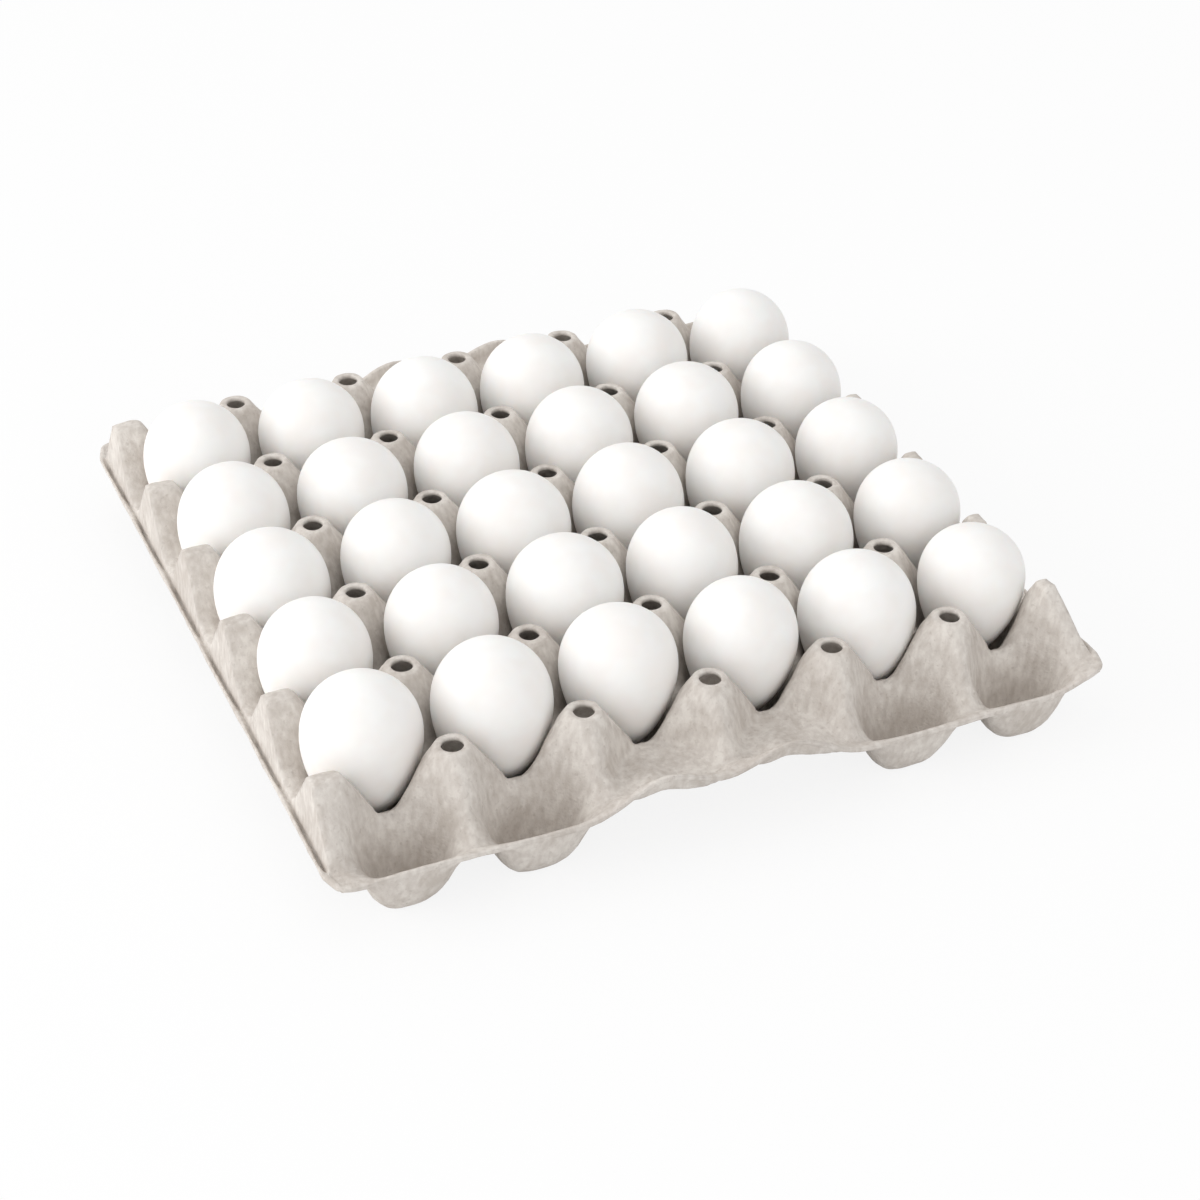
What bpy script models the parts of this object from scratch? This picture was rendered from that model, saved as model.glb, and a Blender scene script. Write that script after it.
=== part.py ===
"""A moulded-pulp egg tray, six cells by five, with an egg standing in every cell.

Metres, +Z up. The origin is on the surface that the tray stands on, below its centre.
"""
import math

import bmesh
import bpy
from mathutils import Vector

# The tray: one sheet of pulp, pressed into cups with a hollow post at each corner of a cup.
PITCH = 0.0475
COLUMNS = 6
ROWS = 5
HALF_WIDTH = 0.148
POST_HEIGHT = 0.048
WALL = 0.002
CORNER_THICKENING = 1.5
RIM_HEIGHT = 0.024

# One post and one cup, as heights and as distances from their own centres.
POST_HOLE_RADIUS = 0.0038
POST_TOP_RIDGE = 0.0065
POST_TOP_DIAGONAL = 0.0073
SADDLE_HEIGHT = 0.0266
CUP_SHOULDER_RADIUS = 0.0212
CUP_FLOOR_RADIUS = 0.0126

# Left and right edges: half posts set in from the pitch line, with a steep outer face.
SIDE_POST_X = 2.93 * PITCH
SIDE_POST_TOP = 0.0035
SIDE_SADDLE_HEIGHT = 0.0255
GROOVE_X = 3.05 * PITCH
GROOVE_HEIGHT = 0.0215

# Front and back edges: a shallow half cup outside each outer cell, then the lip.
POCKET_CENTRE = 2.85 * PITCH
POCKET_BACK = 2.74 * PITCH
POCKET_FRONT = 2.93 * PITCH
POCKET_HALF_WIDTH = 0.19 * PITCH
LIP_INNER = 3.02 * PITCH
LIP_CORNER = 0.33 * PITCH
RIDGE_AT_POCKET = 0.0324
RIDGE_AT_FRONT = 0.0266
SHELF_HEIGHT = 0.0245

# The middle two cells of the front and back have a raised double arch to lift the tray by.
ARCH_CELLS = (2, 3)
ARCH_RISE = 0.0112
ARCH_MIDDLE = 0.36
ARCH_REACH = 1.1 * PITCH

# The eggs, front row first: widths in millimetres, and the height of each top above the posts.
EGG_WIDTHS = (
    (42.0, 42.5, 42.0, 41.0, 43.0, 39.5),
    (40.5, 41.0, 43.0, 41.5, 43.0, 40.5),
    (42.5, 41.0, 43.5, 43.0, 42.5, 40.5),
    (42.5, 42.5, 41.5, 43.0, 42.0, 41.0),
    (41.5, 42.0, 43.5, 43.0, 42.5, 42.0),
)
EGG_SLENDERNESS = 1.37
EGG_TOP = 0.0165
EGG_TOP_SWING = 0.0012
EGG_POINT = 0.24
EGG_TILT = math.radians(2.0)
EGG_SIDES = 12
EGG_RINGS = 5

DIAGONAL = math.sqrt(0.5)


def make_material(name, colour, roughness):
    """A plain Principled material."""
    material = bpy.data.materials.new(name)
    material.use_nodes = True
    shader = material.node_tree.nodes["Principled BSDF"]
    shader.inputs["Base Color"].default_value = (*colour, 1.0)
    shader.inputs["Roughness"].default_value = roughness
    shader.inputs["Metallic"].default_value = 0.0
    return material


def add_object(name, mesh, material):
    """Put a finished mesh into the scene under its part's name."""
    mesh.materials.append(material)
    mesh.shade_smooth()
    mesh.set_sharp_from_angle(angle=math.radians(35.0))
    thing = bpy.data.objects.new(name, mesh)
    bpy.context.collection.objects.link(thing)
    return thing


def add_strip(sheet, first, second):
    """Join two rows of points with quads."""
    for k in range(len(first) - 1):
        corners = (first[k], first[k + 1], second[k + 1], second[k])
        sheet.faces.new([sheet.verts.new(corner) for corner in corners])


def lip_height(x):
    """Height of the front and back lip: level, with the double arch in the middle."""
    reach = abs(x)
    peak = 0.5 * PITCH
    if reach >= ARCH_REACH:
        rise = 0.0
    elif reach >= peak:
        rise = math.cos(0.5 * math.pi * (reach - peak) / (ARCH_REACH - peak)) ** 2
    else:
        rise = ARCH_MIDDLE + (1.0 - ARCH_MIDDLE) * math.sin(0.5 * math.pi * reach / peak) ** 2
    return RIM_HEIGHT + ARCH_RISE * rise


def add_post_top(sheet, post, sx, sy, holed):
    """A quarter of a post's flat top. Returns the row of points along its edge."""
    px, py = post
    corner = POST_TOP_DIAGONAL * DIAGONAL
    edge = [
        Vector((px + sx * POST_TOP_RIDGE, py, POST_HEIGHT)),
        Vector((px + sx * corner, py + sy * corner, POST_HEIGHT)),
        Vector((px, py + sy * POST_TOP_RIDGE, POST_HEIGHT)),
    ]
    if holed:
        bend = POST_HOLE_RADIUS * DIAGONAL
        hole = [
            Vector((px + sx * POST_HOLE_RADIUS, py, POST_HEIGHT)),
            Vector((px + sx * bend, py + sy * bend, POST_HEIGHT)),
            Vector((px, py + sy * POST_HOLE_RADIUS, POST_HEIGHT)),
        ]
        add_strip(sheet, hole, edge)
    else:
        centre = Vector((px, py, POST_HEIGHT))
        add_strip(sheet, [centre, edge[2]], [edge[0], edge[1]])
    return edge


def add_egg_quarter(sheet, post, cup, holed):
    """A quarter of an egg cell, from a post's centre to the middle of the cup's floor."""
    px, py = post
    cx, cy = cup
    sx = math.copysign(1.0, cx - px)
    sy = math.copysign(1.0, cy - py)
    edge = add_post_top(sheet, post, sx, sy, holed)
    shoulder = CUP_SHOULDER_RADIUS * DIAGONAL
    side_saddle = SADDLE_HEIGHT if holed else SIDE_SADDLE_HEIGHT
    saddle = [
        Vector((cx, py, SADDLE_HEIGHT)),
        Vector((cx - sx * shoulder, cy - sy * shoulder, SADDLE_HEIGHT)),
        Vector((px, cy, side_saddle)),
    ]
    corner = CUP_FLOOR_RADIUS * DIAGONAL
    floor = [
        Vector((cx, cy - sy * CUP_FLOOR_RADIUS, WALL)),
        Vector((cx - sx * corner, cy - sy * corner, WALL)),
        Vector((cx - sx * CUP_FLOOR_RADIUS, cy, WALL)),
    ]
    centre = Vector((cx, cy, WALL))
    add_strip(sheet, edge, saddle)
    add_strip(sheet, saddle, floor)
    add_strip(sheet, [floor[0], floor[1]], [centre, floor[2]])


def add_edge_quarter(sheet, post, cx, arched, holed):
    """Half of a pocket, or of an arch, with the lip outside it, beside one edge post."""
    px, py = post
    sx = math.copysign(1.0, cx - px)
    sy = math.copysign(1.0, py)
    depth = SHELF_HEIGHT if arched else WALL
    edge = add_post_top(sheet, post, sx, sy, holed)
    bend = POCKET_HALF_WIDTH * 0.8
    between = 0.5 * (SADDLE_HEIGHT + RIM_HEIGHT)
    saddle = [
        Vector((cx, py, SADDLE_HEIGHT)),
        Vector((cx - sx * LIP_CORNER, sy * (POCKET_BACK - 0.05 * PITCH), between)),
        Vector((px, sy * POCKET_CENTRE, RIDGE_AT_POCKET)),
    ]
    floor = [
        Vector((cx, sy * POCKET_BACK, depth)),
        Vector((cx - sx * bend, sy * (POCKET_BACK + 0.02 * PITCH), depth)),
        Vector((cx - sx * POCKET_HALF_WIDTH, sy * POCKET_CENTRE, depth)),
    ]
    centre = Vector((cx, sy * POCKET_CENTRE, depth))
    front = [
        Vector((px, sy * POCKET_FRONT, RIDGE_AT_FRONT)),
        Vector((cx - sx * bend, sy * POCKET_FRONT, depth)),
        Vector((cx, sy * POCKET_FRONT, depth)),
    ]
    along = (px, cx - sx * LIP_CORNER, cx)
    lip = [Vector((x, sy * LIP_INNER, lip_height(x))) for x in along]
    rim = [Vector((x, sy * HALF_WIDTH, lip_height(x))) for x in along]
    add_strip(sheet, edge, saddle)
    add_strip(sheet, saddle, floor)
    add_strip(sheet, [floor[0], floor[1]], [centre, floor[2]])
    add_strip(sheet, [saddle[2], floor[2], centre], front)
    add_strip(sheet, front, lip)
    add_strip(sheet, lip, rim)


def side_stations():
    """Distances along a side edge, with the height of the posts' outer ridge at each."""
    stations = []
    for post in range(ROWS + 1):
        y = (post - 0.5 * ROWS) * PITCH
        stations += [(y - POST_TOP_RIDGE, POST_HEIGHT), (y, POST_HEIGHT), (y + POST_TOP_RIDGE, POST_HEIGHT)]
    for cell in range(ROWS):
        stations.append(((cell + 0.5 - 0.5 * ROWS) * PITCH, SIDE_SADDLE_HEIGHT))
    ends = (
        (POCKET_CENTRE, RIDGE_AT_POCKET),
        (POCKET_FRONT, RIDGE_AT_FRONT),
        (LIP_INNER, RIM_HEIGHT),
        (HALF_WIDTH, RIM_HEIGHT),
    )
    for y, height in ends:
        stations += [(y, height), (-y, height)]
    return sorted(stations)


def add_side_edge(sheet, side):
    """The outer faces of the posts along a side edge, the groove below them and the rim."""
    ridge, brow, groove, rim = [], [], [], []
    for y, height in side_stations():
        at_end = abs(y) >= LIP_INNER
        at_saddle = height == SIDE_SADDLE_HEIGHT
        dip = RIM_HEIGHT if at_end or at_saddle else GROOVE_HEIGHT
        ridge.append(Vector((side * SIDE_POST_X, y, height)))
        brow.append(Vector((side * (SIDE_POST_X + SIDE_POST_TOP), y, height)))
        groove.append(Vector((side * GROOVE_X, y, dip)))
        rim.append(Vector((side * HALF_WIDTH, y, RIM_HEIGHT)))
    add_strip(sheet, ridge, brow)
    add_strip(sheet, brow, groove)
    add_strip(sheet, groove, rim)


def face_up(sheet):
    """Join the patches and turn every face upwards."""
    bmesh.ops.remove_doubles(sheet, verts=sheet.verts[:], dist=0.00001)
    sheet.normal_update()
    for face in sheet.faces:
        if face.normal.z < 0.0:
            face.normal_flip()
    bmesh.ops.triangulate(sheet, faces=sheet.faces[:])
    sheet.normal_update()


def add_underside(sheet):
    """Give the sheet its wall: an even offset, straight down at edges, level under the floors."""
    upper_faces = sheet.faces[:]
    open_edges = [edge for edge in sheet.edges if edge.is_boundary]
    below = {}
    for vert in sheet.verts[:]:
        thickening = min(vert.calc_shell_factor(), CORNER_THICKENING)
        lowered = vert.co - vert.normal * WALL * thickening
        if vert.is_boundary:
            lowered = vert.co - Vector((0.0, 0.0, WALL))
        if vert.co.z <= WALL * 1.01:
            lowered.z = 0.0
        below[vert] = lowered
    below = {vert: sheet.verts.new(place) for vert, place in below.items()}
    for face in upper_faces:
        sheet.faces.new([below[vert] for vert in reversed(face.verts)])
    for edge in open_edges:
        face = edge.link_faces[0]
        loop = next(loop for loop in face.loops if loop.edge == edge)
        start, end = loop.vert, loop.link_loop_next.vert
        sheet.faces.new((end, start, below[start], below[end]))


def build_tray(material):
    """The whole tray, as one closed sheet with a wall."""
    sheet = bmesh.new()
    post_x = [(i - 0.5 * COLUMNS) * PITCH for i in range(COLUMNS + 1)]
    post_x[0], post_x[-1] = -SIDE_POST_X, SIDE_POST_X
    post_y = [(j - 0.5 * ROWS) * PITCH for j in range(ROWS + 1)]
    for i in range(COLUMNS):
        cx = (i + 0.5 - 0.5 * COLUMNS) * PITCH
        for k in (i, i + 1):
            holed = 0 < k < COLUMNS
            for j in range(ROWS):
                cy = (j + 0.5 - 0.5 * ROWS) * PITCH
                add_egg_quarter(sheet, (post_x[k], post_y[j]), (cx, cy), holed)
                add_egg_quarter(sheet, (post_x[k], post_y[j + 1]), (cx, cy), holed)
            for y in (post_y[0], post_y[-1]):
                add_edge_quarter(sheet, (post_x[k], y), cx, i in ARCH_CELLS, holed)
    add_side_edge(sheet, -1.0)
    add_side_edge(sheet, 1.0)
    face_up(sheet)
    add_underside(sheet)
    bmesh.ops.triangulate(sheet, faces=sheet.faces[:])
    mesh = bpy.data.meshes.new("tray")
    sheet.to_mesh(mesh)
    sheet.free()
    return add_object("tray", mesh, material)


def egg_profile(width, length):
    """Radius and height of each ring of an egg that stands on its narrow end."""
    def breadth(angle):
        return math.cos(angle) * (1.0 + EGG_POINT * math.sin(angle))

    widest = max(breadth(math.radians(a)) for a in range(0, 45))
    rings = []
    for k in range(1, EGG_RINGS + 1):
        angle = -0.5 * math.pi + math.pi * k / (EGG_RINGS + 1)
        radius = 0.5 * width * breadth(angle) / widest
        rings.append((radius, 0.5 * length * math.sin(angle)))
    return rings


def build_egg(row, column, material):
    """One egg, leaning a little its own way in its cup."""
    width = EGG_WIDTHS[row][column] * 0.001
    length = width * EGG_SLENDERNESS
    turn = 2.4 * (row * COLUMNS + column)
    shell = bmesh.new()
    previous = None
    bottom = shell.verts.new((0.0, 0.0, -0.5 * length))
    for radius, height in egg_profile(width, length):
        ring = []
        for k in range(EGG_SIDES):
            angle = 2.0 * math.pi * k / EGG_SIDES
            ring.append(shell.verts.new((radius * math.cos(angle), radius * math.sin(angle), height)))
        for k in range(EGG_SIDES):
            after = (k + 1) % EGG_SIDES
            if previous is None:
                shell.faces.new((bottom, ring[after], ring[k]))
            else:
                shell.faces.new((previous[k], previous[after], ring[after], ring[k]))
        previous = ring
    top = shell.verts.new((0.0, 0.0, 0.5 * length))
    for k in range(EGG_SIDES):
        shell.faces.new((previous[k], previous[(k + 1) % EGG_SIDES], top))
    mesh = bpy.data.meshes.new(f"egg_{row + 1}_{column + 1}")
    shell.to_mesh(mesh)
    shell.free()
    egg = add_object(mesh.name, mesh, material)
    top_height = POST_HEIGHT + EGG_TOP + EGG_TOP_SWING * math.sin(turn * 3.0)
    egg.location = (
        (column + 0.5 - 0.5 * COLUMNS) * PITCH,
        (row + 0.5 - 0.5 * ROWS) * PITCH,
        top_height - 0.5 * length,
    )
    egg.rotation_euler = (EGG_TILT * math.sin(turn), EGG_TILT * math.cos(turn), 0.0)
    return egg


def build():
    for thing in list(bpy.data.objects):
        bpy.data.objects.remove(thing, do_unlink=True)
    pulp = make_material("pulp", (0.60, 0.56, 0.51), 0.9)
    eggshell = make_material("eggshell", (0.90, 0.89, 0.87), 0.5)
    build_tray(pulp)
    for row in range(ROWS):
        for column in range(COLUMNS):
            build_egg(row, column, eggshell)


build()
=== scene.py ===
# %% [markdown]
# # An egg tray with thirty eggs
# The real thing is one sheet of wet paper pulp that was sucked onto a wire mould and dried. The mould
# leaves cups for the eggs, hollow posts between them and a lip all round. This lesson remakes the pulp
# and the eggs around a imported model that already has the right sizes, and gives both their finish. The
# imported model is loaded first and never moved, so every later piece lands where it belongs.

# %% Load the frame
import math

import bmesh
import bpy
from mathutils import Matrix, Vector


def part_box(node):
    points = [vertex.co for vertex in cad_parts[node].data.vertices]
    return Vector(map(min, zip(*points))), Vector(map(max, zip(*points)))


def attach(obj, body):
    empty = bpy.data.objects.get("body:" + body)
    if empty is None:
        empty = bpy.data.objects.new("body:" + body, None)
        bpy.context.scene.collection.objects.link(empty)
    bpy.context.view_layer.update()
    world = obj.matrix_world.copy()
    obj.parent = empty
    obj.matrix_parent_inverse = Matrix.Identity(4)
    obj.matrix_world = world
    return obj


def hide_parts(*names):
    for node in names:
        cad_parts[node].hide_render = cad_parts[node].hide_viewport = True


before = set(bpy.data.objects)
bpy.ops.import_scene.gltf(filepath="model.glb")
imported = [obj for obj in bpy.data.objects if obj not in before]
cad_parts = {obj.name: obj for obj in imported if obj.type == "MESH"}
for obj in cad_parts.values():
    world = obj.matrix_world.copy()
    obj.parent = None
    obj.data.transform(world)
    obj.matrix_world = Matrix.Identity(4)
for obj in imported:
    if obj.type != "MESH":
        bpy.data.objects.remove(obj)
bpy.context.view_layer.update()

# %% [markdown]
# ## Sizes
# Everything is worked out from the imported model: the spacing of the cups comes from the eggs' own
# places, and the height of the posts from the tray's box. Typed numbers would do as well, until the
# model is packed again at another size. The rest are small lengths of the mould, in metres.

# %% Sizes taken from the model
COLUMNS = 6
ROWS = 5


def egg_node(row, column):
    """The model's name for the egg in a row and a column, both counted from 1."""
    return f"egg_{row}_{column}"


def box_middle(node):
    low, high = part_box(node)
    return (low + high) / 2


tray_low, tray_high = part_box("tray")
first_egg, last_egg = box_middle(egg_node(1, 1)), box_middle(egg_node(1, COLUMNS))
PITCH = round((last_egg.x - first_egg.x) / (COLUMNS - 1), 4)
HALF_WIDTH = tray_high.x
POST_HEIGHT = tray_high.z
print("pitch", PITCH, "half width", round(HALF_WIDTH, 4), "posts", round(POST_HEIGHT, 4))

# %% [markdown]
# ## The camera
# A long lens a metre away, a little to the left of the tray and looking down on it. It comes early, so
# that every later step can be looked at. A Track To constraint could aim it, but angles are easier to
# read and to adjust, so the direction is given as angles, and the distance in cups.

# %% Camera
CAMERA_AZIMUTH = math.radians(-24.9)
CAMERA_ELEVATION = math.radians(35.25)
CAMERA_ROLL = math.radians(1.36)
CAMERA_LENS = 75.75
CAMERA_OFFSET = (-0.2239, 0.7716, 20.124)
SENSOR_WIDTH = 36.0
CLIP_RANGE = (0.05, 20.0)


def camera_axes(azimuth, elevation, roll):
    """Right, up and back directions of a camera that looks down at the origin."""
    back = Vector((
        math.sin(azimuth) * math.cos(elevation),
        -math.cos(azimuth) * math.cos(elevation),
        math.sin(elevation),
    ))
    right = Vector((math.cos(azimuth), math.sin(azimuth), 0.0))
    up = back.cross(right)
    turned_right = right * math.cos(roll) + up * math.sin(roll)
    turned_up = up * math.cos(roll) - right * math.sin(roll)
    return turned_right, turned_up, back


def add_camera():
    right, up, back = camera_axes(CAMERA_AZIMUTH, CAMERA_ELEVATION, CAMERA_ROLL)
    across, along, away = (PITCH * part for part in CAMERA_OFFSET)
    data = bpy.data.cameras.new("camera")
    data.lens = CAMERA_LENS
    data.sensor_width = SENSOR_WIDTH
    data.clip_start, data.clip_end = CLIP_RANGE
    data.dof.use_dof = False
    camera = bpy.data.objects.new("camera", data)
    bpy.context.scene.collection.objects.link(camera)
    place = Vector((0.0, 0.0, POST_HEIGHT)) - right * across - up * along + back * away
    turn = Matrix((right, up, back)).transposed().to_4x4()
    camera.matrix_world = Matrix.Translation(place) @ turn
    bpy.context.scene.camera = camera
    return camera


camera = add_camera()
print("camera at", tuple(round(v, 3) for v in camera.matrix_world.translation))

# %% [markdown]
# ## The mould of one cup
# Pulp takes the shape of its mould, so the tray is described as a mould maker would: the profile of a
# post down its ridge and down its face towards an egg, then the wall of the cup to its flat floor. Each
# profile is a row of (distance, height) pairs. A quarter of a cell is the surface between two ridges and
# a floor. Four quarters make a cup, and mirrored quarters meet exactly on their shared ridges. A grid
# pushed up and down by a formula is shorter to write, but it stretches badly on walls this steep.

# %% Profiles of a post and a cup
CUP_FLOOR = 0.0020
SADDLE = 0.0266
HALF_CELL = 0.5 * PITCH
POST_RINGS = ((0.0039, 0.0479), (0.0055, 0.0480))
BROW = ((0.0063, 0.0477), (0.0066, 0.0476))
RIDGE_PROFILE = (
    (0.0073, 0.0461), (0.0123, 0.0393), (0.0174, 0.0317), (0.0213, 0.0272), (HALF_CELL, SADDLE),
)
FACE_PROFILE = ((0.0082, 0.0450), (0.0108, 0.0404), (0.0125, 0.0335), (0.0144, 0.0262), (0.0162, 0.0196))
WALL_AXIS = ((0.0194, 0.0248), (0.0173, 0.0192), (0.0152, 0.0112), (0.0137, 0.0050), (0.0122, 0.0022))
WALL_FACE = ((0.0168, 0.0158), (0.0160, 0.0118), (0.0149, 0.0076), (0.0136, 0.0041), (0.0122, 0.0022))
FLOOR_RADIUS = 0.0098
RIDGE_SHARPNESS = (0.55, 0.50, 0.45, 0.40, 0.35)
WALL_FULLNESS = 0.8
SIDE_SADDLE_DROP = 0.0020
QUARTER_SIDES = 4
SIDE_TOP_NARROWING = 0.5
SIDE_BROW_NARROWING = 0.7


def quarter_row(centre, sx, sy, first, face, last, sharpness=RIDGE_SHARPNESS[0]):
    """Five points round a quarter turn. Each of the three stations is (x reach, y reach, height)."""
    def between(a, b, share):
        """A point between a ridge and the face, pulled in so that the ridge stays a soft crease."""
        angle_a, angle_b = math.atan2(a[1], a[0]), math.atan2(b[1], b[0])
        angle = 0.5 * (angle_a + angle_b)
        reach = 1.0 / ((1.0 - share) / math.hypot(a[0], a[1]) + share / math.hypot(b[0], b[1]))
        height = a[2] + (b[2] - a[2]) * share
        return (reach * math.cos(angle), reach * math.sin(angle), height)

    share = 1.0 - sharpness
    stations = (first, between(first, face, share), face, between(last, face, share), last)
    return [Vector((centre[0] + sx * x, centre[1] + sy * y, z)) for x, y, z in stations]


def round_row(centre, sx, sy, radius, height, squeeze, narrow):
    """Five points on a quarter of a level ring, squeezed in X and narrowed in Y on a side post."""
    row = []
    for k in range(QUARTER_SIDES + 1):
        angle = 0.5 * math.pi * k / QUARTER_SIDES
        x = centre[0] + sx * squeeze * radius * math.cos(angle)
        y = centre[1] + sy * narrow * radius * math.sin(angle)
        row.append(Vector((x, y, height)))
    return row


def wall_row(cup, sx, sy, axis, face, squeeze, side_drop=0.0):
    """Five points on a quarter of a cup's wall, from below one ridge to below the other."""
    row = []
    for k in range(QUARTER_SIDES + 1):
        angle = 0.5 * math.pi * k / QUARTER_SIDES
        share = max(math.sin(2.0 * angle), 0.0) ** WALL_FULLNESS
        radius = axis[0] + (face[0] - axis[0]) * share
        height = axis[1] + (face[1] - axis[1]) * share - side_drop * math.sin(angle) ** 4
        x = cup[0] - sx * squeeze * radius * math.sin(angle)
        y = cup[1] - sy * radius * math.cos(angle)
        row.append(Vector((x, y, height)))
    return row


print("ridges fall to", RIDGE_PROFILE[-1], "and the wall of a cup starts at", WALL_AXIS[0])

# %% [markdown]
# ## Laying the sheet
# The sheet is collected as rows of points, and rows that follow each other are joined with quads. Patches
# that meet share the same points, so that they can be merged when all are laid. Quads in even rows are
# what a subdivision surface rounds best, and dried pulp is round at every edge. Cutting the cups out of a
# block with booleans would leave long thin faces, which a subdivision surface turns into puckers.

# %% Helpers that lay the sheet
def lay(sheet, *rows):
    """Join each row of points to the next with quads."""
    for first, second in zip(rows, rows[1:]):
        for k in range(len(first) - 1):
            corners = (first[k], first[k + 1], second[k + 1], second[k])
            sheet.faces.new([sheet.verts.new(corner) for corner in corners])


def lay_middle(sheet, ring, centre):
    """Close the inside of a quarter ring with quads that meet at its centre."""
    for k in range(0, len(ring) - 1, 2):
        corners = (ring[k], ring[k + 1], ring[k + 2], centre)
        sheet.faces.new([sheet.verts.new(corner) for corner in corners])


def lay_post_top(sheet, post, sx, sy, squeeze, holed):
    """A quarter of a post's top, with its hole or without. Returns the row along its brow."""
    narrow = 1.0 if holed else SIDE_TOP_NARROWING
    rings = [round_row(post, sx, sy, radius, height, squeeze, narrow) for radius, height in POST_RINGS]
    (ridge, ridge_height), (face, face_height) = BROW
    diagonal = face * math.sqrt(0.5)
    brow = quarter_row(
        post, sx, sy,
        (ridge * squeeze, 0.0, ridge_height),
        (diagonal * squeeze, diagonal * (1.0 - SIDE_BROW_NARROWING * (1.0 - narrow)), face_height),
        (0.0, ridge * narrow, ridge_height),
    )
    if holed:
        lay(sheet, rings[0], rings[1], brow)
    else:
        lay_middle(sheet, rings[1], Vector((post[0], post[1], POST_HEIGHT)))
        lay(sheet, rings[1], brow)
    return brow


print("a post's top is", round(2 * BROW[0][0], 4), "m wide, and its hole", round(2 * POST_RINGS[0][0], 4))

# %% [markdown]
# ## The egg cells
# A cell is the square between four posts, with one cup in it. The posts along the left and right sides
# stand in from the pattern, so the outer quarters of the side cells are squeezed. They could have
# profiles of their own, but multiplying their X distances by one factor keeps every shared row matching.

# %% A quarter of an egg cell
SIDE_POST_X = 2.93 * PITCH
SIDE_RIDGE = (
    (0.0040, 0.0463), (0.0083, 0.0400), (0.0130, 0.0331), (0.0177, 0.0262), (HALF_CELL, 0.0246),
)


def lay_egg_quarter(sheet, post, cup, holed):
    """A quarter of an egg's cell, from a post's centre to the middle of the cup's floor."""
    sx = math.copysign(1.0, cup[0] - post[0])
    sy = math.copysign(1.0, cup[1] - post[1])
    squeeze = abs(cup[0] - post[0]) / HALF_CELL
    rows = [lay_post_top(sheet, post, sx, sy, squeeze, holed)]
    side_profile = RIDGE_PROFILE if holed else SIDE_RIDGE
    profiles = zip(RIDGE_PROFILE, FACE_PROFILE, side_profile, RIDGE_SHARPNESS)
    for (along, ridge_height), (deep, face_height), (aside, side_height), sharpness in profiles:
        diagonal = deep * math.sqrt(0.5)
        rows.append(quarter_row(
            post, sx, sy,
            (along * squeeze, 0.0, ridge_height),
            (diagonal * squeeze, diagonal, face_height),
            (0.0, aside, side_height),
            sharpness,
        ))
    for axis, face in zip(WALL_AXIS, WALL_FACE):
        side_drop = 0.0 if holed else SIDE_SADDLE_DROP * axis[1] / SADDLE
        rows.append(wall_row(cup, sx, sy, axis, face, squeeze, side_drop))
    floor = (FLOOR_RADIUS, CUP_FLOOR)
    rows.append(wall_row(cup, sx, sy, floor, floor, squeeze))
    lay(sheet, *rows)
    lay_middle(sheet, rows[-1], Vector((cup[0], cup[1], CUP_FLOOR)))


print("side posts stand", round(3.0 * PITCH - SIDE_POST_X, 4), "m in from the pattern")

# %% [markdown]
# ## The front and back edges
# The pattern runs on for half a cup past the last row of posts and ends at a lip. Outside the outer cells
# that leaves a small pocket, whose rounded foot also helps the tray to stand. Outside the middle two cells
# the mould has a raised double arch instead, where fingers go in to lift the tray. The arch stands a
# little to one side of the middle, and a shallow gutter parts the foot of each ridge from the lip. The
# lip's height is one rule of the distance along the edge, so pockets and arches share their edges. Each
# ring of a pocket below is its half width, its back and its front in pitches, its height, and its bend:
# below 1 the ring is squarer than an ellipse, and above 1 it is more pointed.

# %% Sizes of the pockets, the arches and the lip
RIM = 0.0240
POCKET_CENTRE = 2.79 * PITCH
POCKET_RINGS = (
    (0.370, 2.585, 3.050, 0.0205, 1.15),
    (0.320, 2.620, 3.015, 0.0140, 1.10),
    (0.260, 2.655, 2.970, 0.0080, 1.00),
    (0.190, 2.690, 2.925, 0.0042, 0.95),
    (0.120, 2.725, 2.875, 0.0023, 0.90),
)
POCKET_FRONT_BEND = 0.6
POCKET_SADDLE = (0.30, 2.650, 0.0262)
FRONT_RIDGE = ((0.0073, 0.0461), (0.0096, 0.0431), (0.0117, 0.0404), (0.0136, 0.0380), (0.0154, 0.0357))
CORNER_RIDGE = (
    (0.0040, 0.0463), (0.0065, 0.0427), (0.0090, 0.0391), (0.0115, 0.0354), (0.29 * PITCH, 0.0321),
)
RIDGE_FOOT = 3.038
RIDGE_SLOPE = 0.8
CORNER_FOOT = 2.905
LIP_INNER = (0.0, 3.058, 3.068, 3.073, 3.074)
LIP_MIDDLE = 3.092 * PITCH
LIP_ROUND = 0.0005
LIP_STAND = 0.0030
GUTTER = 0.0010
ARCH_CELLS = (2, 3)
ARCH_RISE = 0.0112
ARCH_MIDDLE = 0.40
ARCH_PEAK = 0.5 * PITCH
ARCH_REACH = 1.1 * PITCH
ARCH_SHIFT = 0.12 * PITCH


def from_arch_middle(x, sy):
    """Distance from the middle of the double arch, which is to the left as one faces that edge."""
    return x - sy * ARCH_SHIFT


def lip_height(x, sy):
    """Height of the lip along the front or back: level, with two arches near the middle."""
    reach = abs(from_arch_middle(x, sy))
    if reach >= ARCH_REACH:
        rise = 0.0
    elif reach >= ARCH_PEAK:
        rise = math.cos(0.5 * math.pi * (reach - ARCH_PEAK) / (ARCH_REACH - ARCH_PEAK)) ** 2
    else:
        rise = ARCH_MIDDLE + (1.0 - ARCH_MIDDLE) * math.sin(0.5 * math.pi * reach / ARCH_PEAK) ** 2
    return RIM + ARCH_RISE * rise


SHELF_START = 2.5 * PITCH
SHELF_END = 3.08 * PITCH
SHELF_FALL = 0.0014
SHELF_POWER = 2.0
TROUGH_POWER = 26.0


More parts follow.
